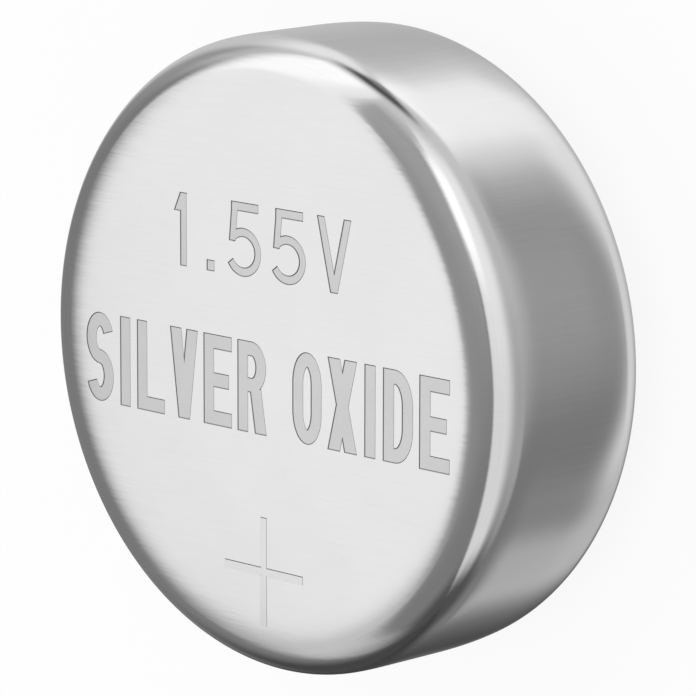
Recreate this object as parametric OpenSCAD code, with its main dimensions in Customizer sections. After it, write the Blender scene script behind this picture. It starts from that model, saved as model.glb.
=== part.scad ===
// Silver oxide button cell of the 6.8 x 2.6 mm size.
// It lies on its negative cap: +Z is up and the plus face is on top.
// Every piece is turned about Z from a section with x as the radius and y as the height.

/* [Cell] */
// Outside diameter of the cell
cell_d = 6.8; // [5.6:0.1:8.2]
// Height from the negative flat to the plus face
cell_h = 2.6; // [2.1:0.1:3.2]

/* [Positive can] */
// Sheet thickness of the can
can_wall = 0.20; // [0.16:0.01:0.24]
// Outside radius between the plus face and the side wall
can_corner_r = 0.40; // [0.32:0.02:0.48]
// Outside radius of the crimp that holds the cell shut
crimp_r = 0.60; // [0.50:0.02:0.72]
// Flat lip past the crimp radius
crimp_lip = 0.08; // [0.04:0.01:0.12]

/* [Plus mark] */
// Length of each stroke
mark_size = 1.18; // [0.8:0.02:1.2]
// Width of each stroke
mark_stroke = 0.10; // [0.06:0.01:0.16]
// Depth of the stamping
mark_depth = 0.02; // [0.01:0.005:0.05]
// Plain rim between the lower end of the mark and the corner radius
mark_rim = 0.14; // [0.05:0.01:0.6]

/* [Negative cap] */
// Sheet thickness of the cap
cap_wall = 0.15; // [0.12:0.01:0.18]
// Height of the cap's flat below the crimp
cap_proud = 0.20; // [0.10:0.01:0.26]
// Outside radius round the cap's flat
cap_corner_r = 0.25; // [0.20:0.01:0.28]
// Width of the shoulder under the crimp
shoulder_w = 0.34; // [0.32:0.01:0.42]
// Outside radius of the shoulder
shoulder_r = 0.22; // [0.19:0.01:0.24]
// Radius in the neck above the cap's side
neck_r = 0.08; // [0.04:0.01:0.08]

/* [Gasket] */
// Thickness of the gasket between can and cap skirt
gasket_wall = 0.33; // [0.26:0.01:0.40]
// Thickness of the gasket squeezed between crimp and shoulder
gasket_lip = 0.15; // [0.10:0.01:0.18]
// Thickness of the foot that the cap skirt stands on
gasket_foot = 0.12; // [0.08:0.01:0.16]
// Length of the foot past the inside of the skirt
foot_reach = 0.15; // [0.08:0.01:0.30]
// Length of the gasket that shows beyond the inside of the crimp lip
gasket_show = 0.15; // [0.08:0.01:0.18]

/* [Cathode] */
// Height of the silver oxide pellet
pellet_h = 0.85; // [0.6:0.01:1.02]
// Sheet thickness of the support ring
ring_wall = 0.10; // [0.08:0.01:0.12]
// Height of the ring's upright side above its flange
ring_side = 0.30; // [0.2:0.01:0.36]
// Width of the ring's flange
ring_flange = 0.45; // [0.3:0.01:0.6]

/* [Separator] */
// Thickness of the barrier film
barrier_t = 0.05; // [0.03:0.01:0.06]
// Thickness of the absorbent pad
pad_t = 0.18; // [0.12:0.01:0.22]

/* [Fits] */
// Clearance between curved faces that lie against each other
fit_gap = 0.02; // [0.01:0.005:0.03]

/* [Hidden] */
$fn = 128;

// How far a cutting shape runs past the face that it opens
over = 0.1;

// Radii, from the outside in
can_r = cell_d / 2;
bore_r = can_r - can_wall;
packed_r = bore_r - fit_gap;
skirt_r = packed_r - gasket_wall - fit_gap;
cap_r = skirt_r - shoulder_w;
foot_r = skirt_r - cap_wall - foot_reach;
mouth_r = can_r - crimp_r - crimp_lip;

// Heights, from the negative flat up
lip_top_z = cap_proud + can_wall;
shoulder_z = lip_top_z + gasket_lip;
roof_z = cell_h - can_wall;
pellet_z = roof_z - pellet_h;
barrier_z = pellet_z - barrier_t;
skirt_top_z = barrier_z - gasket_foot;
pad_z = barrier_z - pad_t;
gasket_z = lip_top_z - gasket_show;

// Rectangle from radius r0 to r1 and height z0 to z1
module band(r0, r1, z0, z1) {
  translate([r0, z0])
    square([r1 - r0, z1 - z0]);
}

// Half section of a disc of radius r with its lower and upper edges rounded
module rounded_disc(r, z0, z1, low_r, high_r) {
  difference() {
    band(0, r, z0, z1);
    edge_cut(r, z0, low_r, 1);
    edge_cut(r, z1, high_r, -1);
  }
}

// What a rounding takes off the edge at radius r and height z, where side points into the disc
module edge_cut(r, z, edge_r, side) {
  if (edge_r > 0) {
    difference() {
      translate([r - edge_r, side > 0 ? z - over : z - edge_r])
        square([edge_r + over, edge_r + over]);
      translate([r - edge_r, z + side * edge_r])
        circle(r = edge_r);
    }
  }
}

// Half section of the solid inside the can's inner skin, shrunk sideways and at the crimp by gap
module can_inside(gap) {
  rounded_disc(
    bore_r - gap,
    lip_top_z + gap,
    roof_z,
    crimp_r - can_wall - gap,
    can_corner_r - can_wall
  );
}

// Half section of the solid inside the cap's outer skin, shrunk by inset on every side
module cap_solid(inset) {
  neck = neck_r + inset;
  rounded_disc(cap_r - inset, inset, skirt_top_z, cap_corner_r - inset, 0);
  rounded_disc(skirt_r - inset, shoulder_z + inset, skirt_top_z, shoulder_r - inset, 0);
  difference() {
    band(cap_r - inset - over, cap_r - inset + neck, shoulder_z + inset - neck, shoulder_z + inset + over);
    translate([cap_r - inset + neck, shoulder_z + inset - neck])
      circle(r = neck);
  }
}

// The stamped plus, as the solid that it takes out of the face
module plus_mark() {
  translate([0, mark_size / 2 + mark_rim + can_corner_r - can_r, cell_h - mark_depth + over / 2]) {
    cube([mark_size, mark_stroke, over], center = true);
    cube([mark_stroke, mark_size, over], center = true);
  }
}

// Deep-drawn can: closed plus face on top, open end rolled in over the gasket
module positive_can() {
  color([0.80, 0.80, 0.80])
    difference() {
      rotate_extrude()
        difference() {
          rounded_disc(can_r, cap_proud, cell_h, crimp_r, can_corner_r);
          can_inside(0);
          band(0, mouth_r, cap_proud - over, lip_top_z + over);
        }
      plus_mark();
    }
}

// Stepped cap: flat contact below, shoulder under the crimp, skirt standing on the gasket foot
module negative_cap() {
  color([0.74, 0.73, 0.71])
    rotate_extrude()
      difference() {
        cap_solid(0);
        cap_solid(cap_wall);
        band(0, skirt_r - cap_wall, skirt_top_z - over, skirt_top_z + over);
      }
}

// Nylon gasket: J section round the skirt, with a lip that shows inside the crimp
module sealing_gasket() {
  color([0.86, 0.84, 0.78])
    rotate_extrude()
      difference() {
        union() {
          intersection() {
            can_inside(fit_gap);
            band(0, bore_r, lip_top_z, barrier_z);
          }
          gasket_rim();
        }
        cap_solid(-fit_gap);
        band(0, foot_r, skirt_top_z - over, barrier_z + over);
      }
}

// The part of the gasket that fills the ring between crimp lip and cap, with a rounded end
module gasket_rim() {
  rim_r0 = cap_r + fit_gap;
  rim_r1 = mouth_r - fit_gap;
  rim_w = rim_r1 - rim_r0;
  band(rim_r0, rim_r1, gasket_z + rim_w / 2, lip_top_z + 2 * fit_gap);
  translate([rim_r0 + rim_w / 2, gasket_z + rim_w / 2])
    circle(r = rim_w / 2);
}

// Pressed pellet, stepped where the support ring hugs its lower edge
module cathode_pellet() {
  ring_in_r = packed_r - ring_wall - fit_gap;
  flange_in_r = packed_r - ring_flange - fit_gap;
  color([0.22, 0.21, 0.22])
    rotate_extrude()
      union() {
        rounded_disc(packed_r, pellet_z + ring_wall + ring_side, roof_z, 0, can_corner_r - can_wall);
        band(0, ring_in_r, pellet_z + ring_wall, roof_z - ring_wall);
        band(0, flange_in_r, pellet_z, roof_z - ring_wall);
      }
}

// Angle ring that keeps the pellet's edge square under the gasket foot
module support_ring() {
  color([0.66, 0.66, 0.65])
    rotate_extrude()
      difference() {
        rounded_disc(packed_r, pellet_z, pellet_z + ring_wall + ring_side, ring_wall, 0);
        band(0, packed_r - ring_wall, pellet_z + ring_wall, roof_z);
        band(0, packed_r - ring_flange, pellet_z - over, roof_z);
      }
}

// Ion-permeable film held by its edge between support ring and gasket foot
module barrier_film() {
  color([0.90, 0.88, 0.70])
    translate([0, 0, barrier_z])
      cylinder(r = packed_r, h = barrier_t);
}

// Felt pad soaked with electrolyte, inside the gasket foot
module absorbent_pad() {
  color([0.93, 0.93, 0.90])
    translate([0, 0, pad_z])
      cylinder(r = foot_r - fit_gap, h = pad_t);
}

// Gelled zinc powder that fills the cap up to the pad
module anode_gel() {
  color([0.45, 0.46, 0.48])
    rotate_extrude()
      difference() {
        cap_solid(cap_wall + fit_gap);
        band(0, skirt_r, pad_z, skirt_top_z + over);
      }
}

positive_can();
negative_cap();
sealing_gasket();
cathode_pellet();
support_ring();
barrier_film();
absorbent_pad();
anode_gel();
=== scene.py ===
"""Looks of a silver oxide button cell that lies on its negative cap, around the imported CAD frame.

Sizes are in millimetres until a mesh is written, when MM turns them into metres.
"""

import math

import bpy
from mathutils import Matrix, Vector
from mathutils.geometry import delaunay_2d_cdt


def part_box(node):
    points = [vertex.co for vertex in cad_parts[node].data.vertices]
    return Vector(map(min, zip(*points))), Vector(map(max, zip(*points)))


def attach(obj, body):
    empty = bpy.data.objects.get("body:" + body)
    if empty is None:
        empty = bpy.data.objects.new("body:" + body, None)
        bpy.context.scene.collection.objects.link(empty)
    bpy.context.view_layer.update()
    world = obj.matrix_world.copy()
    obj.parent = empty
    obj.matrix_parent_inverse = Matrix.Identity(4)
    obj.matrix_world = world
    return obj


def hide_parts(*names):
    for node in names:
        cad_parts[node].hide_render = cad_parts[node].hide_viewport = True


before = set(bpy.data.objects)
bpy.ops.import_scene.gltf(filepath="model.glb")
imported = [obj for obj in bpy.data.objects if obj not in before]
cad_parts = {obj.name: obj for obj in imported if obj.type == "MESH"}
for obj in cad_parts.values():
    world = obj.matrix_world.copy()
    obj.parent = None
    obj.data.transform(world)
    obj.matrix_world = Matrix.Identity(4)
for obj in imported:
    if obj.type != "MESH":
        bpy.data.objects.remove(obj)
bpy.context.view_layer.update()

MM = 0.001
BODY = "root"

# ---------------------------------------------------------------- sizes from the frame and the sheet

can_low, can_high = (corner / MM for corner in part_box("positive_can"))
cap_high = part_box("negative_cap")[1] / MM
gasket_low, gasket_high = (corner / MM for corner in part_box("sealing_gasket"))

CAN_R = can_high.x
FACE_Z = can_high.z
CRIMP_Z = can_low.z
CAN_WALL = 0.20
CORNER_R = 0.40
CRIMP_R = 0.60
CRIMP_LIP = 0.08
EDGE_R = 0.03
FACE_R = CAN_R - CORNER_R
# The face starts to fall away here, and meets the corner radius at this slope, in degrees
CROWN_R = 2.55
CROWN_SLOPE = 5.0
CROWN_POWER = 3
# Drawing and rolling leave the radii a little tighter than their nominal size where they meet the wall,
# which turns by the last few degrees over the run-out's height
CORNER_TURN_R = 0.375
CORNER_RUN_OUT = 0.30
CORNER_RUN_OUT_TURN = 4.0
CRIMP_TURN_R = 0.56
CRIMP_RUN_OUT = 0.65
CRIMP_RUN_OUT_TURN = 8.0
MOUTH_R = CAN_R - CRIMP_R - CRIMP_LIP

CAP_WALL = 0.15
CAP_CORNER_R = 0.25
SHOULDER_W = 0.34
SHOULDER_R = 0.22
NECK_R = 0.08
SKIRT_R = cap_high.x
SKIRT_TOP_Z = cap_high.z
CAP_R = SKIRT_R - SHOULDER_W
GASKET_LIP = 0.15
SHOULDER_Z = CRIMP_Z + CAN_WALL + GASKET_LIP
FIT_GAP = 0.02
FOOT_T = 0.12
FOOT_REACH = 0.15

TURN_STEPS = 256
BEND_STEP = 0.02
# Points closer than this are one
SAME_PLACE = 1e-5


# ---------------------------------------------------------------- turned pieces


class Section:
    """An outline in (radius, height) for turning about Z. It runs down the outside and back up the
    inside, so the solid lies on its right. Each stretch keeps the normal at both of its ends."""

    def __init__(self, radius, height):
        self.points = [(radius, height)]
        self.normals = []

    def line(self, radius, height, steps=1):
        r0, z0 = self.points[-1]
        length = math.hypot(radius - r0, height - z0)
        normal = (-(height - z0) / length, (radius - r0) / length)
        for i in range(1, steps + 1):
            self.points.append((r0 + (radius - r0) * i / steps, z0 + (height - z0) * i / steps))
            self.normals.append((normal, normal))

    def curve(self, points, normals):
        """A smooth stretch through points, with the normal at each of them."""
        self.points.extend(points[1:])
        self.normals.extend(zip(normals, normals[1:]))

    def arc(self, centre, radius, start, end, steps):
        """From the angle start to the angle end, in degrees. A falling angle bulges out of the solid."""
        out = 1 if end < start else -1
        for i in range(steps):
            a0 = math.radians(start + (end - start) * i / steps)
            a1 = math.radians(start + (end - start) * (i + 1) / steps)
            self.points.append((centre[0] + radius * math.cos(a1), centre[1] + radius * math.sin(a1)))
            self.normals.append(tuple((out * math.cos(a), out * math.sin(a)) for a in (a0, a1)))


class Shape:
    """Vertices, faces and corner normals of one piece, in millimetres."""

    def __init__(self):
        self.verts = []
        self.faces = []
        self.normals = []

    def vert(self, x, y, z):
        self.verts.append((x, y, z))
        return len(self.verts) - 1

    def face(self, corners, normals):
        self.faces.append(corners)
        self.normals.extend(normals)

    def turn(self, section, steps):
        """Turns a Section about Z and returns the rings of vertex numbers, one for each point. A point
        that the section comes back to keeps its ring."""
        angles = [2 * math.pi * j / steps for j in range(steps)]
        made = {}
        rings = []
        for r, z in section.points:
            place = (round(r, 6), round(z, 6))
            if place not in made:
                if r < SAME_PLACE:
                    made[place] = [self.vert(0, 0, z)] * steps
                else:
                    made[place] = [self.vert(r * math.cos(a), r * math.sin(a), z) for a in angles]
            rings.append(made[place])
        for upper, lower, (n0, n1) in zip(rings, rings[1:], section.normals):
            for j in range(steps):
                k = (j + 1) % steps
                ring_corners = ((upper[j], n0, j), (lower[j], n1, j), (lower[k], n1, k), (upper[k], n0, k))
                corners, normals = [], []
                for vertex, (nr, nz), step in ring_corners:
                    if vertex not in corners:
                        corners.append(vertex)
                        normals.append((nr * math.cos(angles[step]), nr * math.sin(angles[step]), nz))
                if len(corners) > 2:
                    self.face(corners, normals)
        return rings

    def finish(self, name, node, slot, *materials):
        """Makes the object, which stands for a CAD node and rides on its body."""
        mesh = bpy.data.meshes.new(name)
        mesh.from_pydata([Vector(v) * MM for v in self.verts], [], self.faces)
        for polygon in mesh.polygons:
            polygon.use_smooth = True
        mesh.normals_split_custom_set(self.normals)
        for material in materials:
            mesh.materials.append(material)
        piece = bpy.data.objects.new(name, mesh)
        bpy.context.scene.collection.objects.link(piece)
        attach(piece, BODY)
        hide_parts(node)
        return piece


def bend(slopes, step, end_r):
    """A curve whose slope, in degrees from level, is given at even steps of length. It is moved
    sideways so that it ends at the radius end_r, and starts at height 0."""
    angles = [math.radians(slope) for slope in slopes]
    points = [(0.0, 0.0)]
    for a0, a1 in zip(angles, angles[1:]):
        middle = (a0 + a1) / 2
        r, z = points[-1]
        points.append((r + step * math.cos(middle), z - step * math.sin(middle)))
    shift = end_r - points[-1][0]
    return [(r + shift, z) for r, z in points], [(math.sin(a), math.cos(a)) for a in angles]


# ---------------------------------------------------------------- stamped marks on the plus face

STAMP_DEPTH = 0.006
STAMP_DRAFT = 0.011
# Rings of points that carry the crown between CROWN_R and the rim
CROWN_RINGS = 6
# A triangle this small is a sliver with no direction, and is left out
NO_AREA = 1e-12
# What each part of the face is made of, in the order of the can's material slots; the edges are painted
# dark, as shade in the marks' walls
FINISHES = ("face", "letter_floor", "letter_edge", "plus_floor", "plus_edge")

# Plain marks, in the face's own x and y: the nominal voltage, the kind of cell and the polarity
VOLTAGE = {
    "text": "1.55V",
    "centre_x": -0.05,
    "base_y": 0.85,
    "height": 0.79,
    "widths": {"1": 0.34, ".": 0.20, "other": 0.50},
    "gap": 0.16,
    "stroke": 0.10,
}
CELL_KIND = {
    "text": "SILVER OXIDE",
    "centre_x": -0.02,
    "base_y": -0.80,
    "height": 0.98,
    "widths": {"I": 0.20, " ": 0.22, "other": 0.43},
    "gap": 0.085,
    "stroke": 0.16,
}
PLUS_CENTRE = (0.0, -2.27)
PLUS_SIZE = 1.18
PLUS_STROKE = 0.10


def inset(outline, distance):
    """A convex outline, counter-clockwise, with every edge moved inwards."""
    moved = []
    for (x0, y0), (x1, y1) in zip(outline, outline[1:] + outline[:1]):
        length = math.hypot(x1 - x0, y1 - y0)
        nx, ny = -(y1 - y0) / length, (x1 - x0) / length
        moved.append((x0 + nx * distance, y0 + ny * distance, (x1 - x0) / length, (y1 - y0) / length))
    corners = []
    for (ax, ay, adx, ady), (bx, by, bdx, bdy) in zip(moved[-1:] + moved[:-1], moved):
        t = ((bx - ax) * bdy - (by - ay) * bdx) / (adx * bdy - ady * bdx)
        corners.append((ax + adx * t, ay + ady * t))
    return corners


def bar(x0, y0, x1, y1):
    """An upright rectangle, as a function of how far it is drawn in."""
    outline = [(x0, y0), (x1, y0), (x1, y1), (x0, y1)]
    return lambda draft: inset(outline, draft)


def slant(low_x, low_y, high_x, high_y, width):
    """A sloping stroke with level ends. Its x values are those of its left edge."""
    outline = [(low_x, low_y), (low_x + width, low_y), (high_x + width, high_y), (high_x, high_y)]
    return lambda draft: inset(outline, draft)


def ribbon(path, width):
    """A stroke of even width along a path of points, with square ends."""

    def outline(draft):
        points = [Vector(p) for p in path]
        for end, beside in ((0, 1), (-1, -2)):
            along = points[beside] - points[end]
            points[end] = points[end] + along.normalized() * min(draft, along.length * 0.5)
        sides = ([], [])
        for i, point in enumerate(points):
            before, after = points[max(i - 1, 0)], points[min(i + 1, len(points) - 1)]
            across = (after - before).normalized().orthogonal() * (width / 2 - draft)
            sides[0].append(tuple(point - across))
            sides[1].append(tuple(point + across))
        return sides[0] + sides[1][::-1]

    return outline


def bow(cx, cy, rx, ry, start, end, steps=14):
    """Points along an ellipse from one angle to another, in degrees."""
    angles = [math.radians(start + (end - start) * i / steps) for i in range(steps + 1)]
    return [(cx + rx * math.cos(a), cy + ry * math.sin(a)) for a in angles]


def glyph(letter, w, h, s):
    """The strokes of a plain upright letter in a box w wide and h high, with strokes s wide. Its
    proportions are shares of the box."""
    m = h / 2
    top = h - s / 2
    if letter == "1":
        stem = w * 0.55 - s / 2
        return [bar(stem, 0, stem + s, h), slant(w * 0.12, h * 0.74, stem, h, s * 1.1)]
    if letter == "5":
        bowl = bow(w * 0.46, h * 0.33, w * 0.54 - s / 2, h * 0.33 - s / 2, 142, -150, 26)
        return [
            bar(w * 0.10, h - s, w * 0.92, h),
            slant(w * 0.035, h * 0.46, w * 0.12, h, s),
            ribbon(bowl, s),
        ]
    if letter == ".":
        return [bar(w / 2 - s * 0.6, 0, w / 2 + s * 0.6, s * 1.2)]
    if letter == "V":
        foot = w / 2 - s * 0.55
        return [slant(foot, 0, 0, h, s * 1.1), slant(foot, 0, w - s * 1.1, h, s * 1.1)]
    if letter == "X":
        return [slant(0, 0, w - s * 1.15, h, s * 1.15), slant(w - s * 1.15, 0, 0, h, s * 1.15)]
    if letter == "S":
        rise = (h - s) / 4
        upper = bow(w / 2, m + rise, w / 2 - s / 2, rise, 20, 270, 24)
        lower = bow(w / 2, m - rise, w / 2 - s / 2, rise, 90, -160, 24)
        return [ribbon(upper + lower[1:], s)]
    if letter == "I":
        return [bar(w / 2 - s / 2, 0, w / 2 + s / 2, h)]
    if letter == "L":
        return [bar(0, 0, s, h), bar(0, 0, w, s)]
    if letter == "E":
        arms = [bar(0, 0, w, s), bar(0, m - s / 2, w * 0.9, m + s / 2), bar(0, h - s, w, h)]
        return [bar(0, 0, s, h)] + arms
    if letter == "R":
        loop = [(s / 2, top), (w * 0.5, top)]
        loop += bow(w * 0.5, h * 0.72, w * 0.5 - s / 2, h * 0.28 - s / 2, 90, -90, 16)[1:]
        loop += [(s / 2, h * 0.44 + s / 2)]
        return [bar(0, 0, s, h), ribbon(loop, s), slant(w - s * 1.05, 0, w * 0.42, h * 0.5, s * 1.1)]
    if letter == "O":
        upper = bow(w / 2, h * 0.65, w / 2 - s / 2, h * 0.35 - s / 2, 180, 0, 20)
        lower = bow(w / 2, h * 0.35, w / 2 - s / 2, h * 0.35 - s / 2, 0, -180, 20)
        return [ribbon(upper + lower, s), bar(0, h * 0.30, s, h * 0.70)]
    if letter == "D":
        belly = [(s / 2, top), (w * 0.4, top)]
        belly += bow(w * 0.4, h * 0.62, w * 0.6 - s / 2, h * 0.38 - s / 2, 90, 0, 10)[1:]
        belly += bow(w * 0.4, h * 0.38, w * 0.6 - s / 2, h * 0.38 - s / 2, 0, -90, 10)
        belly += [(s / 2, s / 2)]
        return [bar(0, 0, s, h), ribbon(belly, s)]
    return []


def line_of_letters(text, centre_x, base_y, height, widths, gap, stroke):
    """The strokes of a line of text, placed on the face and centred on centre_x."""
    sizes = [widths.get(letter, widths["other"]) for letter in text]
    x = centre_x - (sum(sizes) + gap * (len(text) - 1)) / 2
    strokes = []
    for letter, w in zip(text, sizes):
        for shape in glyph(letter, w, height, stroke):
            strokes.append(
                lambda draft, shape=shape, x=x: [(px + x, py + base_y) for px, py in shape(draft)]
            )
        x += w + gap
    return strokes


def plus_strokes():
    """The two strokes of the plus."""
    cx, cy = PLUS_CENTRE
    arm, half = PLUS_SIZE / 2, PLUS_STROKE / 2
    return [bar(cx - arm, cy - half, cx + arm, cy + half), bar(cx - half, cy - arm, cx + half, cy + arm)]


def stamped_strokes():
    """Every stroke on the face, with the kind of mark that it belongs to."""
    letters = line_of_letters(**VOLTAGE) + line_of_letters(**CELL_KIND)
    return [(stroke, "letter") for stroke in letters] + [(stroke, "plus") for stroke in plus_strokes()]


def crown(radius, rim_r):
    """How far the face has dropped at a radius, and its slope there as an angle."""
    part = max(radius - CROWN_R, 0) / (rim_r - CROWN_R)
    slope = math.radians(CROWN_SLOPE) * part**CROWN_POWER
    return slope * part * (rim_r - CROWN_R) / (CROWN_POWER + 1), slope


def within(point, outline):
    """Whether a point lies inside an outline."""
    inside = False
    for (x0, y0), (x1, y1) in zip(outline, outline[1:] + outline[:1]):
        if (y0 > point[1]) != (y1 > point[1]):
            if point[0] < x0 + (x1 - x0) * (point[1] - y0) / (y1 - y0):
                inside = not inside
    return inside


def crown_points(rim_r, strokes):
    """Rings of points on the crowned part of the face, clear of the marks."""
    edges = [stroke(-STAMP_DRAFT) for stroke, _ in strokes]
    points = []
    for i in range(CROWN_RINGS):
        r = CROWN_R + (rim_r - CROWN_R) * i / CROWN_RINGS
        for j in range(TURN_STEPS):
            a = 2 * math.pi * (j + 0.5 * (i % 2)) / TURN_STEPS
            place = (r * math.cos(a), r * math.sin(a))
            if not any(within(place, edge) for edge in edges):
                points.append(Vector(place))
    return points


def triangle_kind(owners, strokes):
    """What a triangle is part of. Its owners are the outlines that it lies in, by number: 0 for the rim,
    then the edge of every stroke, then the floor of every stroke."""
    last = max(owners)
    first_floor = 1 + len(strokes)
    if last >= first_floor:
        return strokes[last - first_floor][1] + "_floor"
    if last >= 1:
        return strokes[last - 1][1] + "_edge"
    return "face"


def crown_normal(place, rim_r):
    """The face's smooth normal at a place on it."""
    radius = math.hypot(place.x, place.y)
    slope = crown(radius, rim_r)[1]
    lean = math.sin(slope) / max(radius, SAME_PLACE)
    return (place.x * lean, place.y * lean, math.cos(slope))


def face_vertices(shape, rim, rim_r, flat, origins, floor):
    """Adds the face's points to the shape, at their height, and gives the vertex of each. A point that
    comes from the rim is the rim's own vertex, and the points of a floor are pressed in."""
    vertices = []
    for i, point in enumerate(flat):
        on_rim = [origin for origin in origins[i] if origin < len(rim)]
        if on_rim:
            vertices.append(rim[on_rim[0]])
        else:
            drop = crown(point.length, rim_r)[0] + (STAMP_DEPTH if i in floor else 0)
            vertices.append(shape.vert(point.x, point.y, FACE_Z - drop))
    return vertices


def stamped_face(shape, rim):
    """Fills the plus face inside the rim's vertices, with the marks pressed into it, and gives the finish
    of each of its faces.

    Every stroke gives two outlines: its edge on the face and, drawn in by the draft, its floor. The
    plus's walls that lean towards +x and +y are given its floor's finish and smooth normals, and only its
    other walls keep the dark edge finish: a painted lit side and a painted shaded side."""
    strokes = stamped_strokes()
    points = [Vector(shape.verts[v][:2]) for v in rim]
    rim_r = points[0].length
    outlines = [list(range(len(points)))]
    points += crown_points(rim_r, strokes)
    for draft in (0, STAMP_DRAFT):
        for stroke, _ in strokes:
            corners = [Vector(corner) for corner in stroke(draft)]
            outlines.append(list(range(len(points), len(points) + len(corners))))
            points += corners
    flat, _, triangles, origins, _, owners = delaunay_2d_cdt(points, [], outlines, 1, SAME_PLACE)
    kinds = [triangle_kind(owner, strokes) for owner in owners]
    floor = {i for triangle, kind in zip(triangles, kinds) if kind.endswith("floor") for i in triangle}
    vertices = face_vertices(shape, rim, rim_r, flat, origins, floor)
    finishes = {}
    for triangle, kind in zip(triangles, kinds):
        corners = [vertices[i] for i in triangle]
        a, b, c = (Vector(shape.verts[v]) for v in corners)
        normal = (b - a).cross(c - a)
        if normal.length < NO_AREA:
            continue
        # Walls of the plus that lean towards +x and +y take the floor's finish and the rest stay dark:
        # painted light on one side, painted shade on the other
        if kind == "plus_edge" and normal.x + normal.y > 0:
            kind = "plus_floor"
        finishes[len(shape.faces)] = FINISHES.index(kind)
        if kind.endswith("edge"):
            shape.face(corners, [tuple(normal.normalized())] * 3)
        else:
            shape.face(corners, [crown_normal(place, rim_r) for place in (a, b, c)])
    return finishes


# ---------------------------------------------------------------- materials


class Nodes:
    """A material's node tree, with short calls for what the materials here repeat."""

    def __init__(self, name=None, tree=None):
        if tree is None:
            self.material = bpy.data.materials.new(name)
            self.material.use_nodes = True
            tree = self.material.node_tree
            self.shader = tree.nodes["Principled BSDF"]
        self.tree = tree

    def add(self, kind, inputs=None, **settings):
        node = self.tree.nodes.new(kind)
        for key, value in settings.items():
            setattr(node, key, value)
        for key, value in (inputs or {}).items():
            if isinstance(value, bpy.types.NodeSocket):
                self.tree.links.new(value, node.inputs[key])
            else:
                node.inputs[key].default_value = value
        return node

    def math(self, operation, a, b=0.0):
        return self.add("ShaderNodeMath", {0: a, 1: b}, operation=operation).outputs[0]

    def vector(self, x, y=0.0, z=0.0):
        return self.add("ShaderNodeCombineXYZ", {0: x, 1: y, 2: z}).outputs[0]

    def vector_math(self, operation, *vectors, output="Vector"):
        inputs = dict(enumerate(vectors))
        return self.add("ShaderNodeVectorMath", inputs, operation=operation).outputs[output]

    def place(self, scale=(1, 1, 1)):
        """Position on the piece in millimetres, stretched by a scale for each axis."""
        position = self.add("ShaderNodeTexCoord").outputs["Object"]
        return self.vector_math("MULTIPLY", position, [s / MM for s in scale])

    def radius(self):
        """Distance from the cell's axis in millimetres."""
        return self.vector_math("LENGTH", self.place((1, 1, 0)), output="Value")

    def noise(self, vector, scale=1.0, detail=2.0, roughness=0.5):
        return self.add(
            "ShaderNodeTexNoise",
            {"Vector": vector, "Scale": scale, "Detail": detail, "Roughness": roughness},
        ).outputs["Fac"]

    def ramp(self, value, low, high, to_low, to_high):
        """A value in the range low to high, mapped smoothly to the range to_low to to_high."""
        return self.add(
            "ShaderNodeMapRange",
            {"Value": value, "From Min": low, "From Max": high, "To Min": to_low, "To Max": to_high},
            interpolation_type="SMOOTHSTEP",
        ).outputs["Result"]

    def spread(self, noise, low, high):
        """A noise, which seldom leaves the range 0.3 to 0.7, spread smoothly from low to high."""
        return self.ramp(noise, 0.3, 0.7, low, high)

    def swing(self, noise, reach):
        """How far a noise is from its middle, as a share of the reach."""
        return self.math("MULTIPLY", self.math("SUBTRACT", noise, 0.5), reach)

    def mix(self, factor, a, b):
        return self.add("ShaderNodeMix", {"Factor": factor, "A": a, "B": b}, data_type="FLOAT").outputs[0]

    def bump(self, height, depth_mm, normal=None):
        inputs = {"Height": height, "Distance": depth_mm * MM, "Strength": 1.0}
        if normal is not None:
            inputs["Normal"] = normal
        return self.add("ShaderNodeBump", inputs).outputs["Normal"]

    def grey(self, value, tint):
        """A colour of an even tint, as bright as value says."""
        parts = [self.math("MULTIPLY", value, t) for t in tint]
        return self.add("ShaderNodeCombineColor", dict(enumerate(parts))).outputs["Color"]

    def use(self, **inputs):
        """Sets the shader's sockets. A plain number or colour goes on the socket itself."""
        for key, value in inputs.items():
            socket = self.shader.inputs[key.replace("_", " ")]
            if isinstance(value, bpy.types.NodeSocket):
                self.tree.links.new(value, socket)
            else:
                socket.default_value = value
        return self.material


# Bare plate as a share of white, and how far it drifts from place to place
PLATE_TONE = 0.80
PLATE_DRIFT = 0.01
FACE_GLOSS = 0.07
CORNER_GLOSS = 0.10
WALL_GLOSS = 0.16
# Lines to the millimetre on each axis: rows along x on the face, and rings round the corner and the wall
ROWS = (2.5, 55, 1)
FINE_ROWS = (5.0, 90, 3)
RINGS = (3.0, 45, 45)
# How far the lines lean, in degrees, and how much they change the tone and the gloss
ROW_LEAN = 0.24
RING_LEAN = 0.25
ROW_TONE = 0.04
ROW_GLOSS = 0.04
RING_TONE = 0.05
# The brushing is this faint in the middle of the face, and grows to its full depth between the two radii
ROW_FAINT = 0.30
ROW_FAINT_R = 2.45
ROW_FULL_R = 2.95
# A noise swings by about a quarter either way, so this brings it to the whole of a lean
NOISE_GAIN = 4
FINE_GAIN = 3
# Rings are this much shallower on the wall than on the corner
WALL_RINGS = 0.3


def nickel_lean(n, rows, fine_rows, rings, radius, corner):
    """The normal, tilted a little by the brushed rows and the turned rings."""
    full = math.radians(ROW_LEAN)
    brushing = n.ramp(radius, ROW_FAINT_R, ROW_FULL_R, full * ROW_FAINT, full)
    lean_x = n.swing(rows, n.math("MULTIPLY", brushing, NOISE_GAIN))
    lean_y = n.swing(fine_rows, n.math("MULTIPLY", brushing, FINE_GAIN))
    lean_z = n.swing(rings, n.math("MULTIPLY", corner, math.radians(RING_LEAN) * NOISE_GAIN))
    normal = n.add("ShaderNodeNewGeometry").outputs["Normal"]
    leaning = n.vector_math("ADD", normal, n.vector(lean_x, lean_y, lean_z))
    return n.vector_math("NORMALIZE", leaning)


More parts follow.
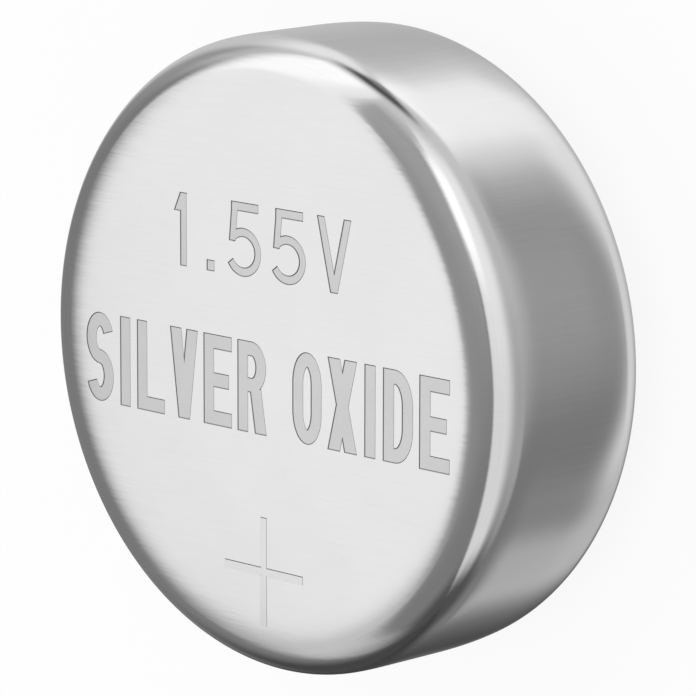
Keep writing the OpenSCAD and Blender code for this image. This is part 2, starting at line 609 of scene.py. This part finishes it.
def nickel_plate():
    """Bright plated sheet. Straight brushing on the face tilts it a little, line by line, and finer
    lines run round the corner and the side."""
    n = Nodes("nickel_plate")
    radius = n.radius()
    parts = n.add("ShaderNodeSeparateXYZ", {0: n.place()}).outputs
    around = n.math("ARCTAN2", parts["Y"], parts["X"])
    outer = n.ramp(radius, FACE_R - 0.04, FACE_R + 0.10, 0.0, 1.0)
    wall = n.ramp(radius, CAN_R - 0.10, CAN_R - 0.01, 0.0, 1.0)
    corner = n.math("MULTIPLY", outer, n.mix(wall, 1.0, WALL_RINGS))

    rows = n.noise(n.place(ROWS), detail=2.0)
    fine_rows = n.noise(n.place(FINE_ROWS), detail=1.0)
    turned = n.vector_math("MULTIPLY", n.vector(around, parts["Z"], radius), RINGS)
    rings = n.noise(turned, detail=2.0)

    cloud = n.noise(n.place(), scale=0.9, detail=4.0, roughness=0.55)
    tone = n.spread(cloud, PLATE_TONE - PLATE_DRIFT, PLATE_TONE + PLATE_DRIFT)
    tone = n.math("ADD", tone, n.swing(rings, n.math("MULTIPLY", corner, RING_TONE)))
    tone = n.math("ADD", tone, n.swing(rows, ROW_TONE))
    gloss = n.mix(wall, n.mix(outer, FACE_GLOSS, CORNER_GLOSS), WALL_GLOSS)
    gloss = n.math("ADD", gloss, n.swing(rows, ROW_GLOSS))
    return n.use(
        Base_Color=n.grey(tone, (1.0, 1.0, 1.0)),
        Metallic=1.0,
        Roughness=gloss,
        Normal=nickel_lean(n, rows, fine_rows, rings, radius, corner),
    )


def stamped_nickel(name, tone, gloss):
    """The floor or the edge of a stamped mark: the same plate, its floor dulled by the die and its edge
    painted dark as shade in the mark's walls.
    """
    n = Nodes(name)
    spot = n.place()
    grain = n.noise(spot, scale=60, detail=2.0)
    cloud = n.noise(spot, scale=2.0, detail=3.0)
    return n.use(
        Base_Color=n.grey(n.spread(cloud, tone - 0.01, tone + 0.01), (1.0, 1.0, 1.0)),
        Metallic=1.0,
        Roughness=n.spread(grain, gloss - 0.02, gloss + 0.02),
    )


def cap_nickel():
    """Smooth clad sheet with faint turned lines and a few scuffs."""
    n = Nodes("cap_nickel")
    spot = n.place()
    turned = n.noise(n.vector(n.math("MULTIPLY", n.radius(), 45)), detail=3.0)
    scuffs = n.ramp(n.noise(n.place((1.5, 22, 1)), detail=3.0), 0.60, 0.72, 0.0, 1.0)
    tone = n.spread(n.noise(spot, scale=0.8, detail=3.0), 0.70, 0.75)
    gloss = n.math("ADD", n.spread(turned, 0.16, 0.24), n.math("MULTIPLY", scuffs, 0.12))
    height = n.math("SUBTRACT", turned, n.math("MULTIPLY", scuffs, 0.6))
    return n.use(
        Base_Color=n.grey(tone, (1.0, 0.985, 0.96)),
        Metallic=1.0,
        Roughness=gloss,
        Normal=n.bump(height, 0.0008),
    )


def moulded_nylon():
    """Natural nylon, a little translucent, with a fine moulded grain."""
    n = Nodes("gasket_nylon")
    spot = n.place()
    tone = n.spread(n.noise(spot, scale=2.5, detail=3.0), 0.80, 0.88)
    grain = n.noise(spot, scale=40, detail=3.0)
    return n.use(
        Base_Color=n.grey(tone, (1.0, 0.975, 0.90)),
        Roughness=n.spread(grain, 0.42, 0.58),
        Subsurface_Weight=0.25,
        Subsurface_Radius=(0.4 * MM, 0.35 * MM, 0.25 * MM),
        Normal=n.bump(grain, 0.002),
    )


def pressed_powder():
    """Tablet of pressed oxide powder, near black."""
    n = Nodes("silver_oxide")
    spot = n.place()
    grains = n.noise(spot, scale=34, detail=5.0, roughness=0.65)
    tone = n.spread(grains, 0.10, 0.20)
    return n.use(
        Base_Color=n.grey(tone, (1.0, 0.96, 0.98)),
        Roughness=n.spread(grains, 0.6, 0.85),
        Normal=n.bump(grains, 0.006),
    )


def ring_steel():
    """Plain steel with the press's draw lines."""
    n = Nodes("ring_steel")
    spot = n.place()
    lines = n.noise(n.place((2, 2, 60)), detail=2.0)
    tone = n.spread(n.noise(spot, scale=1.5, detail=3.0), 0.58, 0.66)
    return n.use(
        Base_Color=n.grey(tone, (1.0, 1.0, 0.985)),
        Metallic=1.0,
        Roughness=n.spread(lines, 0.26, 0.40),
        Normal=n.bump(lines, 0.0008),
    )


def barrier_membrane():
    """Thin clouded film."""
    n = Nodes("barrier_membrane")
    spot = n.place()
    fog = n.noise(spot, scale=3.0, detail=4.0)
    return n.use(
        Base_Color=n.grey(n.spread(fog, 0.82, 0.90), (1.0, 0.97, 0.80)),
        Roughness=n.spread(fog, 0.38, 0.50),
        Normal=n.bump(n.noise(spot, scale=9, detail=3.0), 0.003),
    )


def pad_felt():
    """Felt, as two crossed sets of fibres."""
    n = Nodes("pad_felt")
    fibres = n.math(
        "MAXIMUM",
        n.noise(n.place((6, 40, 8)), detail=3.0),
        n.noise(n.place((40, 6, 8)), detail=3.0),
    )
    return n.use(
        Base_Color=n.grey(n.ramp(fibres, 0.4, 0.7, 0.78, 0.92), (1.0, 1.0, 0.97)),
        Roughness=n.ramp(fibres, 0.4, 0.7, 0.55, 0.9),
        Normal=n.bump(fibres, 0.012),
    )


def zinc_gel():
    """Zinc grains that stand out of a dark gel."""
    n = Nodes("zinc_gel")
    spot = n.place()
    cells = n.add("ShaderNodeTexVoronoi", {"Vector": spot, "Scale": 16.0}).outputs["Distance"]
    return n.use(
        Base_Color=n.grey(n.ramp(cells, 0.1, 0.7, 0.50, 0.28), (0.97, 0.99, 1.0)),
        Metallic=n.ramp(cells, 0.2, 0.45, 0.8, 0.1),
        Roughness=n.ramp(cells, 0.1, 0.6, 0.30, 0.50),
        Normal=n.bump(n.math("SUBTRACT", 1.0, cells), 0.02),
    )


# ---------------------------------------------------------------- pieces


def corner_bend(radius, first_slope, run_out, run_out_turn):
    """The outside of a rounded corner that turns down from first_slope and passes gently into the
    upright wall at the can's radius."""
    last = 90 - run_out_turn
    round_steps = round(math.radians(last - first_slope) * radius / BEND_STEP)
    fade_steps = round(run_out / BEND_STEP)
    slopes = [first_slope + (last - first_slope) * i / round_steps for i in range(round_steps + 1)]
    slopes += [90 - run_out_turn * (1 - i / fade_steps) ** 2 for i in range(1, fade_steps + 1)]
    return bend(slopes, BEND_STEP, CAN_R)


def positive_can():
    """Deep-drawn can with its stamped face, corner, wall, crimp and the cut edge of its lip."""
    corner = (CAN_R - CORNER_R, FACE_Z - CORNER_R)
    crimp = (CAN_R - CRIMP_R, CRIMP_Z + CRIMP_R)
    lip_top = CRIMP_Z + CAN_WALL
    upper, upper_normals = corner_bend(CORNER_TURN_R, CROWN_SLOPE, CORNER_RUN_OUT, CORNER_RUN_OUT_TURN)
    lower, lower_normals = corner_bend(CRIMP_TURN_R, 0.0, CRIMP_RUN_OUT, CRIMP_RUN_OUT_TURN)
    rim_r = upper[0][0]
    rim_z = FACE_Z - crown(rim_r, rim_r)[0]
    outline = Section(rim_r, rim_z)
    outline.curve([(r, rim_z + z) for r, z in upper], upper_normals)
    lower = [(r, CRIMP_Z - z) for r, z in lower][::-1]
    outline.line(CAN_R, lower[0][1], 2)
    outline.curve(lower, [(nr, -nz) for nr, nz in lower_normals][::-1])
    outline.line(MOUTH_R + EDGE_R, CRIMP_Z)
    outline.arc((MOUTH_R + EDGE_R, CRIMP_Z + EDGE_R), EDGE_R, 270, 180, 5)
    outline.line(MOUTH_R, lip_top - EDGE_R)
    outline.arc((MOUTH_R + EDGE_R, lip_top - EDGE_R), EDGE_R, 180, 90, 5)
    outline.line(crimp[0], lip_top)
    outline.arc(crimp, CRIMP_R - CAN_WALL, -90, 0, 14)
    outline.line(CAN_R - CAN_WALL, corner[1])
    outline.arc(corner, CORNER_R - CAN_WALL, 0, 90, 8)
    outline.line(0, FACE_Z - CAN_WALL)
    shape = Shape()
    rings = shape.turn(outline, TURN_STEPS)
    finishes = stamped_face(shape, rings[0])
    can = shape.finish(
        "can_shell",
        "positive_can",
        "nickel_plate",
        nickel_plate(),
        stamped_nickel("letter_floor", 0.64, 0.12),
        # The edges' dark tone is painted shade in the marks' walls
        stamped_nickel("letter_edge", 0.30, 0.45),
        stamped_nickel("plus_floor", 0.77, 0.10),
        stamped_nickel("plus_edge", 0.30, 0.35),
    )
    for index, finish in finishes.items():
        can.data.polygons[index].material_index = finish
    return can


def cap_skin(section, shrink, outward):
    """Adds the cap's skin, drawn in by shrink, between the skirt's end and the middle of the flat."""
    neck = NECK_R + shrink
    cap_r = CAP_R - shrink
    skirt_r = SKIRT_R - shrink
    shoulder_z = SHOULDER_Z + shrink
    corner_r = CAP_CORNER_R - shrink
    turn_r = SHOULDER_R - shrink
    if outward:
        section.line(cap_r - corner_r, shrink)
        section.arc((cap_r - corner_r, shrink + corner_r), corner_r, -90, 0, 14)
        section.line(cap_r, shoulder_z - neck)
        section.arc((cap_r + neck, shoulder_z - neck), neck, 180, 90, 8)
        section.line(skirt_r - turn_r, shoulder_z)
        section.arc((skirt_r - turn_r, shoulder_z + turn_r), turn_r, -90, 0, 12)
        section.line(skirt_r, SKIRT_TOP_Z)
    else:
        section.line(skirt_r, shoulder_z + turn_r, 2)
        section.arc((skirt_r - turn_r, shoulder_z + turn_r), turn_r, 0, -90, 12)
        section.line(cap_r + neck, shoulder_z)
        section.arc((cap_r + neck, shoulder_z - neck), neck, 90, 180, 8)
        section.line(cap_r, shrink + corner_r)
        section.arc((cap_r - corner_r, shrink + corner_r), corner_r, 0, -90, 14)
        section.line(0, shrink)


def negative_cap():
    """Stepped cap of one sheet: flat, neck, shoulder and skirt."""
    section = Section(SKIRT_R, SKIRT_TOP_Z)
    cap_skin(section, 0.0, False)
    section.line(0, CAP_WALL)
    cap_skin(section, CAP_WALL, True)
    section.line(SKIRT_R, SKIRT_TOP_Z)
    shape = Shape()
    shape.turn(section, TURN_STEPS)
    return shape.finish("cap_shell", "negative_cap", "cap_nickel", cap_nickel())


def sealing_gasket():
    """Nylon ring that wraps the cap's skirt, with a rounded end that shows between crimp and cap."""
    packed_r = gasket_high.x
    top_z = gasket_high.z
    foot_r = SKIRT_R - CAP_WALL - FOOT_REACH
    lip_z = CRIMP_Z + CAN_WALL + FIT_GAP
    rim_out = MOUTH_R - FIT_GAP
    rim_in = CAP_R + FIT_GAP
    rim_half = (rim_out - rim_in) / 2
    end_z = gasket_low.z + rim_half
    crimp = (CAN_R - CRIMP_R, CRIMP_Z + CRIMP_R)
    neck = (CAP_R + NECK_R, SHOULDER_Z - NECK_R)
    shoulder = (SKIRT_R - SHOULDER_R, SHOULDER_Z + SHOULDER_R)
    section = Section(packed_r, top_z)
    section.line(packed_r, crimp[1])
    section.arc(crimp, CRIMP_R - CAN_WALL - FIT_GAP, 0, -90, 14)
    section.line(rim_out, lip_z)
    section.line(rim_out, end_z)
    section.arc((rim_in + rim_half, end_z), rim_half, 0, -180, 16)
    section.line(rim_in, neck[1])
    section.arc(neck, NECK_R - FIT_GAP, 180, 90, 6)
    section.line(shoulder[0], SHOULDER_Z - FIT_GAP)
    section.arc(shoulder, SHOULDER_R + FIT_GAP, -90, 0, 12)
    section.line(SKIRT_R + FIT_GAP, top_z - FOOT_T)
    section.line(foot_r, top_z - FOOT_T)
    section.line(foot_r, top_z)
    section.line(packed_r, top_z)
    shape = Shape()
    shape.turn(section, TURN_STEPS)
    return shape.finish("gasket_ring", "sealing_gasket", "gasket_nylon", moulded_nylon())


def finish_inner_pieces():
    """The pieces inside the sealed cell keep their CAD shape and get their own materials."""
    for node, material in (
        ("cathode_pellet", pressed_powder),
        ("support_ring", ring_steel),
        ("barrier_film", barrier_membrane),
        ("absorbent_pad", pad_felt),
        ("anode_gel", zinc_gel),
    ):
        for material_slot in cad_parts[node].material_slots:
            material_slot.material = material()


positive_can()
negative_cap()
sealing_gasket()
finish_inner_pieces()


# ---------------------------------------------------------------- stage, light and camera

# Where the camera stands, seen from the cell. It is rolled, because in the photo the cell stands on its rim.
CAMERA_AZIMUTH = math.radians(15.6)
CAMERA_ELEVATION = math.radians(44.2)
CAMERA_ROLL = math.radians(-100.9)
CAMERA_DISTANCE = 54.2
CAMERA_LENS = 264.3
CAMERA_SHIFT = (0.0057, -0.0042)
CAMERA_CLIP = (1, 2000)
AIM_HEIGHT = FACE_Z - 1.2


def camera_axes():
    """Unit vectors to the camera's right, up and back, in the row frame."""
    back = Vector(
        (
            math.cos(CAMERA_ELEVATION) * math.cos(CAMERA_AZIMUTH),
            math.cos(CAMERA_ELEVATION) * math.sin(CAMERA_AZIMUTH),
            math.sin(CAMERA_ELEVATION),
        )
    )
    level = Vector((-math.sin(CAMERA_AZIMUTH), math.cos(CAMERA_AZIMUTH), 0))
    above = back.cross(level)
    right = level * math.cos(CAMERA_ROLL) + above * math.sin(CAMERA_ROLL)
    up = above * math.cos(CAMERA_ROLL) - level * math.sin(CAMERA_ROLL)
    return right, up, back


def make_camera():
    """A long lens, with its axis just off the middle of the picture as in the photo."""
    right, up, back = camera_axes()
    data = bpy.data.cameras.new("camera")
    data.lens = CAMERA_LENS
    data.sensor_width = 36
    data.shift_x, data.shift_y = CAMERA_SHIFT
    data.clip_start, data.clip_end = (reach * MM for reach in CAMERA_CLIP)
    camera = bpy.data.objects.new("camera", data)
    place = Vector((0, 0, AIM_HEIGHT)) + back * CAMERA_DISTANCE
    turn = Matrix((right, up, back)).transposed().to_4x4()
    camera.matrix_world = Matrix.Translation(place * MM) @ turn
    bpy.context.scene.collection.objects.link(camera)
    bpy.context.scene.camera = camera


make_camera()

# The studio round the object, as what its metal mirrors. Azimuth 0 is towards the camera and 90 to the
# picture's right, height 90 is up the picture, all in degrees. A card spans left to right and low to
# high, each with the width of its soft edge, at a level where 1 is white. Its sides may slope: left_run
# and right_run are the degrees that they move to the right for each degree up. Later cards hide earlier
# ones.
STUDIO_GREY = 0.225
STUDIO_CARDS = (
    # left, soft, right, soft, low, soft, high, soft, level, left_run, right_run
    (-20, 1, 94, 14, -56, 60, 91, 1, 0.41, 0, 0),  # right panel, lower part
    (-20, 1, 94, 14, 4, 50, 91, 1, 0.56, 0, 0),  # right panel, upper part
    (88, 12, 110, 20, -20, 30, 40, 10, 0.31, 0, 0),  # gap behind the right panel
    (92, 12, 118, 20, -91, 1, -8, 30, 0.20, 0, 0),  # the gap's dark foot
    (-86, 10, -24, 10, -10, 60, 91, 1, 0.40, 0, 0),  # gap between the strip light and the front panel
    (-150, 40, -98, 16, 18, 24, 62, 20, 0.36, 0, 0),  # left of the strip light
    (-112, 16, -90, 10, 22, 24, 60, 20, 0.55, 0, 0),  # glow at the strip light's left
    (150, 20, 200, 30, 0, 20, 70, 20, 0.50, 0, 0),  # between the back light and the rear wall
    (184, 20, 234, 26, 0, 20, 91, 1, 0.64, 0, 1.0),  # rear wall
    (-180, 1, 180, 1, 48, 30, 91, 1, 0.66, 0, 0),  # haze under the ceiling
    (-185, 20, -112, 40, 54, 20, 82, 14, 0.96, 0, 0),  # overhead light, left
    (102, 40, 154, 24, 47, 15, 84, 12, 1.15, 0, 0),  # overhead light, back
    (109, 16, 150, 40, -28, 16, 42, 28, 0.74, -0.18, 0),  # back light
    (110, 8, 150, 40, 22, 24, 46, 10, 0.86, 0, 0),  # back light, upper part
    (119, 14, 144, 14, 41.5, 12, 60, 16, 1.04, 0, 0),  # back light, bright core
    (127, 16, 155, 16, -39, 8, -16, 14, 0.53, 0, 0),  # back light's foot
    (-180, 1, 180, 1, -91, 1, -66, 24, 0.085, 0, 0),  # dark table
    (163, 28, 192, 16, -91, 1, -10, 14, 0.05, 0, 0),  # dark flag at the back
    (185, 16, 232, 40, -91, 1, -28, 24, 0.065, 0, 0),  # dark flag at the left
    (-19.5, 10, 38, 44, -73, 22, 58, 20, 0.80, 0.1, -0.1),  # front panel
    (-19.5, 10, 30, 30, -5, 60, 56, 20, 0.97, 0, 0),  # front panel, upper part
    (-26.5, 15, 0, 14, 10, 20, 43, 17, 1.30, 0, 0),  # front panel, bright left edge
    (-104.6, 12, -87.5, 9, -54, 50, -10, 6, 0.65, 0.52, 0.07),  # strip light's foot
    (-97.4, 10, -66.3, 4, -16.5, 12, 67, 12, 1.00, 0, 0.59),  # strip light on the left
    (-93, 8, -86.7, 4, -16.5, 8, -3, 6, 1.00, 0, 0),  # strip light's right edge, low down
    (-92, 8, -70, 8, 3, 16, 63, 12, 1.22, 0.05, 0.5),  # strip light, bright core
    (-118, 60, 40, 60, 73, 12, 91, 1, 0.06, 0, 0),  # dark flag overhead
    (-180, 1, 180, 1, 84.5, 6, 91, 1, 0.22, 0, 0),  # middle of the ceiling
)
# The even light that reaches everything matt
PLAIN_LEVEL = 1.0


def card_mask(n, around, height, card):
    """How much of a card stands in a direction, from 0 to 1."""
    left, soft_left, right, soft_right, low, soft_low, high, soft_high, _, left_run, right_run = card
    parts = [
        n.ramp(height, low - soft_low / 2, low + soft_low / 2, 0.0, 1.0),
        n.ramp(height, high - soft_high / 2, high + soft_high / 2, 1.0, 0.0),
    ]
    if right - left < 360:
        middle = (left + right) / 2
        half = (right - left) / 2
        rise = n.math("SUBTRACT", height, (max(low, -90) + min(high, 90)) / 2)
        turn = {0: n.math("SUBTRACT", around, middle), 1: 180.0, 2: -180.0}
        aside = n.add("ShaderNodeMath", turn, operation="WRAP").outputs[0]
        for edge, run, soft, side in ((-half, left_run, soft_left, 1), (half, right_run, soft_right, -1)):
            past = n.math("SUBTRACT", aside, n.math("MULTIPLY", rise, run))
            parts.append(n.ramp(past, edge - side * soft / 2, edge + side * soft / 2, 0.0, 1.0))
    mask = parts[0]
    for part in parts[1:]:
        mask = n.math("MULTIPLY", mask, part)
    return mask


def make_studio():
    """The camera sees plain white, metal sees the studio, and all else is lit at one plain level."""
    world = bpy.data.worlds.new("studio")
    bpy.context.scene.world = world
    world.use_nodes = True
    n = Nodes(tree=world.node_tree)
    direction = n.add("ShaderNodeTexCoord").outputs["Generated"]
    right, up, back = (
        n.vector_math("DOT_PRODUCT", direction, axis, output="Value") for axis in camera_axes()
    )
    around = n.math("MULTIPLY", n.math("ARCTAN2", right, back), math.degrees(1))
    height = n.math("MULTIPLY", n.math("ARCSINE", up), math.degrees(1))
    studio = STUDIO_GREY
    for card in STUDIO_CARDS:
        studio = n.mix(card_mask(n, around, height, card), studio, float(card[8]))
    path = n.add("ShaderNodeLightPath").outputs
    mirrored = n.math("MAXIMUM", path["Is Glossy Ray"], path["Is Transmission Ray"])
    plain, mirror, white = (
        n.add("ShaderNodeBackground", {"Color": (1, 1, 1, 1), "Strength": level}).outputs[0]
        for level in (PLAIN_LEVEL, studio, 1.0)
    )
    surface = n.add("ShaderNodeMixShader", {0: mirrored, 1: plain, 2: mirror}).outputs[0]
    surface = n.add("ShaderNodeMixShader", {0: path["Is Camera Ray"], 1: surface, 2: white}).outputs[0]
    n.tree.links.new(surface, n.tree.nodes["World Output"].inputs["Surface"])


# Half of the floor's side, how far it lies under the cell, and how much of its white is its own glow
FLOOR_HALF = 400
FLOOR_DROP = 0.01
FLOOR_GLOW = 0.86


def make_floor():
    """White paper that fades into the white backdrop and keeps a soft shadow. Only the camera sees it."""
    n = Nodes("floor_paper")
    spot = n.place()
    fibre = n.noise(spot, scale=0.4, detail=3.0)
    n.use(Base_Color=n.grey(n.spread(fibre, 0.94, 0.96), (1.0, 1.0, 1.0)), Roughness=1.0)
    n.shader.inputs["Specular IOR Level"].default_value = 0.0
    glow = n.add("ShaderNodeEmission", {"Color": (1, 1, 1, 1), "Strength": 1.0}).outputs[0]
    lit = n.add("ShaderNodeMixShader", {0: FLOOR_GLOW, 1: n.shader.outputs[0], 2: glow}).outputs[0]
    clear = n.add("ShaderNodeBsdfTransparent").outputs[0]
    below = n.add("ShaderNodeNewGeometry").outputs["Backfacing"]
    surface = n.add("ShaderNodeMixShader", {0: below, 1: lit, 2: clear}).outputs[0]
    n.tree.links.new(surface, n.tree.nodes["Material Output"].inputs["Surface"])
    half = FLOOR_HALF
    corners = [(-half, -half), (half, -half), (half, half), (-half, half)]
    mesh = bpy.data.meshes.new("floor")
    mesh.from_pydata([Vector((x, y, -FLOOR_DROP)) * MM for x, y in corners], [], [(0, 1, 2, 3)])
    mesh.materials.append(n.material)
    floor = bpy.data.objects.new("floor", mesh)
    bpy.context.scene.collection.objects.link(floor)
    floor.visible_glossy = False
    floor.visible_diffuse = False
    floor.visible_transmission = False
    floor.visible_shadow = False


make_studio()
make_floor()
bpy.context.scene.view_settings.view_transform = "Standard"
